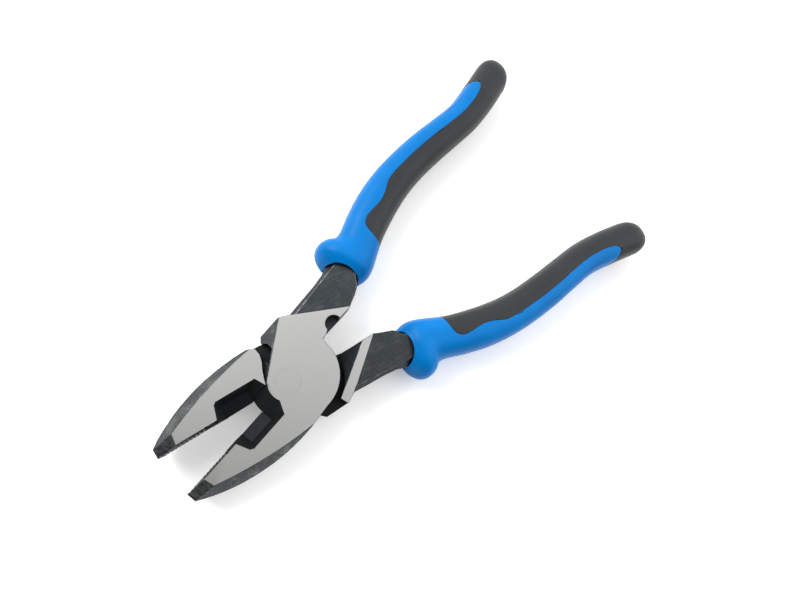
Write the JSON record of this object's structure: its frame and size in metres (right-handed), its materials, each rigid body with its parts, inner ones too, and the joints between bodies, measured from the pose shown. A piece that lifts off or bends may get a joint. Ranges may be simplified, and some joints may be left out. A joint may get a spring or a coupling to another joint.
{
  "type": "lineman pliers",
  "caption": "Side-cutting lineman pliers: two riveted steel forgings with toothed jaws, knives and a crimping nest, and soft black and blue dipped-style grips with hand guards.",
  "frame": {"origin": "centre of the joint rivet on the head's back face, which is the plane z = 0; the front ground face is z = 16 mm", "axes": "+Z through the head's thickness, +Y from the joint towards the handles along the middle of the tool, +X to the right seen from the front face"},
  "size_m": [0.1206, 0.2322, 0.0214],
  "materials": {
    "forged_steel": "faces ground satin, the rest black oxide",
    "ground_steel": "ground satin",
    "hard_core": "moulded polypropylene",
    "black_grip": "matt moulded thermoplastic rubber",
    "blue_guard": "satin moulded thermoplastic rubber"
  },
  "bodies": {
    "side_a": {"half_a": "forged_steel", "rivet": "ground_steel", "sleeve_a": "hard_core", "grip_a": "black_grip", "guard_a": "blue_guard"},
    "side_b": {"half_b": "forged_steel", "sleeve_b": "hard_core", "grip_b": "black_grip", "guard_b": "blue_guard"}
  },
  "joints": [
    {"name": "pivot", "type": "hinge", "parent": "side_a", "child": "side_b", "pos_m": [0, 0, 0.008], "axis": [0, 0, -1], "range_deg": [-17.5, 9]}
  ]
}
